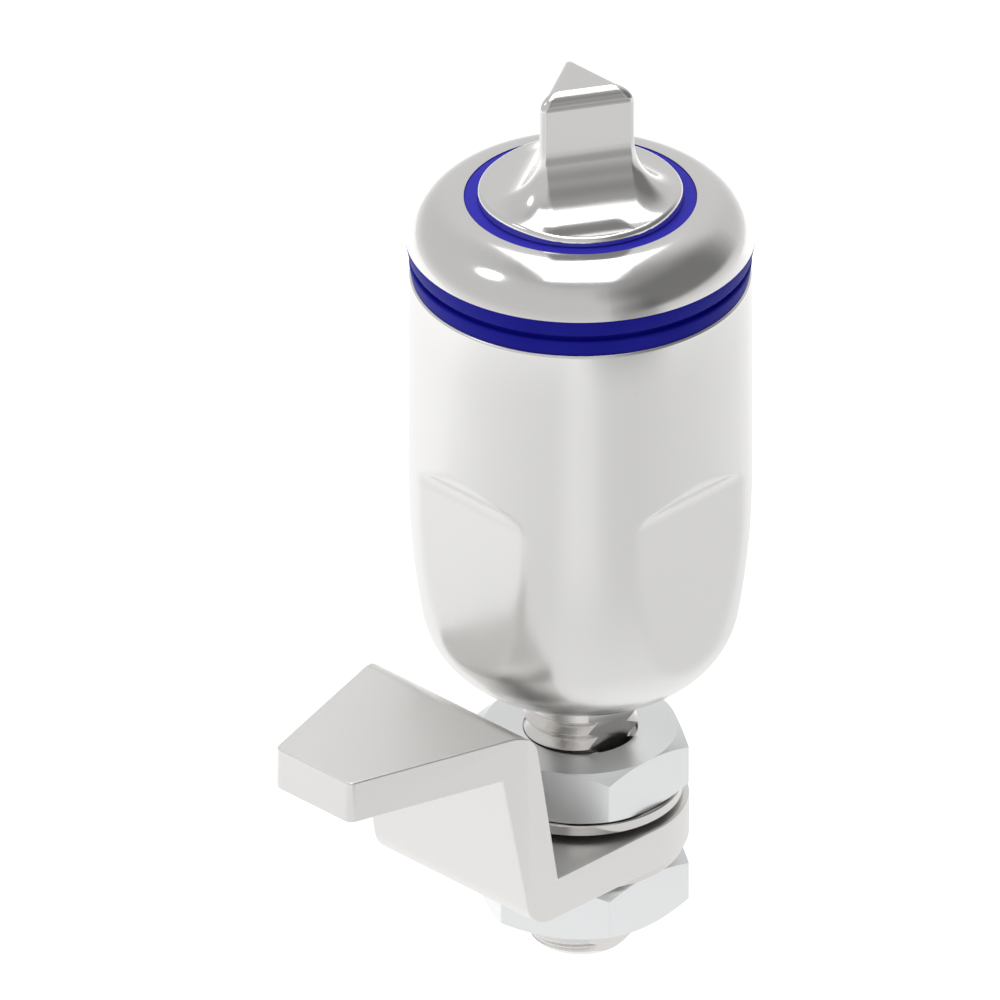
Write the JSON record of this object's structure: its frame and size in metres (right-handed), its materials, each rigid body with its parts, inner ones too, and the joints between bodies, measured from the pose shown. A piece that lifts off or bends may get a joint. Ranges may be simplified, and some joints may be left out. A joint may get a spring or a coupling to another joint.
{
  "type": "compression latch",
  "caption": "Quarter-turn compression latch: triangular key in a domed, gasketed head, round cup nut on the barrel, and a cranked cam that turns and then draws in.",
  "frame": {"origin": "on the turning axis, in the plane where the front gasket and the rear gasket meet", "axes": "+Z along the turning axis, out of the panel towards the key; -X towards the cam's tip at rest; Y across the cam"},
  "size_m": [0.0484, 0.0306, 0.0858],
  "materials": {
    "polished_steel": "polished to a mirror",
    "satin_steel": "satin, brushed along its length",
    "nut_steel": "fine milled",
    "cam_steel": "fine blasted",
    "shaft_steel": "turned",
    "inner_steel": "turned",
    "spring_steel": "smooth",
    "bronze": "turned",
    "blue_rubber": "matt",
    "bright_blue_rubber": "satin",
    "black_rubber": "matt"
  },
  "bodies": {
    "housing": {"head_housing": "polished_steel", "front_gasket": "blue_rubber", "rear_gasket": "blue_rubber", "face_seal": "bright_blue_rubber", "cup_nut": "satin_steel", "thrust_washer": "bronze", "end_bush": "bronze", "shaft_o_ring": "black_rubber", "barrel_retaining_ring": "spring_steel"},
    "rotor": {"guide_sleeve": "inner_steel", "compression_spring": "spring_steel"},
    "actuator": {"key_spindle": "polished_steel", "spindle_o_ring": "black_rubber", "spindle_retaining_ring": "spring_steel"},
    "draw_shaft": {"shaft": "shaft_steel", "cross_pin": "inner_steel", "spring_seat": "inner_steel", "upper_nut": "nut_steel", "upper_spring_washer": "spring_steel", "cam": "cam_steel", "lower_spring_washer": "spring_steel", "lower_nut": "nut_steel"}
  },
  "joints": [
    {"name": "cam_turn", "type": "hinge", "parent": "housing", "child": "rotor", "pos_m": [0, 0, 0], "axis": [0, 0, -1], "range_deg": [0, 90]},
    {"name": "key_wind", "type": "hinge", "parent": "rotor", "child": "actuator", "pos_m": [0, 0, 0], "axis": [0, 0, -1], "range_deg": [0, 90]},
    {"name": "cam_pull", "type": "slide", "parent": "rotor", "child": "draw_shaft", "axis": [0, 0, 1], "range_m": [0, 0.004], "stiffness_N_per_m": 500, "springref_m": -0.006, "deforming": ["compression_spring"]}
  ],
  "couplings": [
    {"joint": "key_wind", "follows": "cam_pull", "rad_per_m": 392.69}
  ]
}
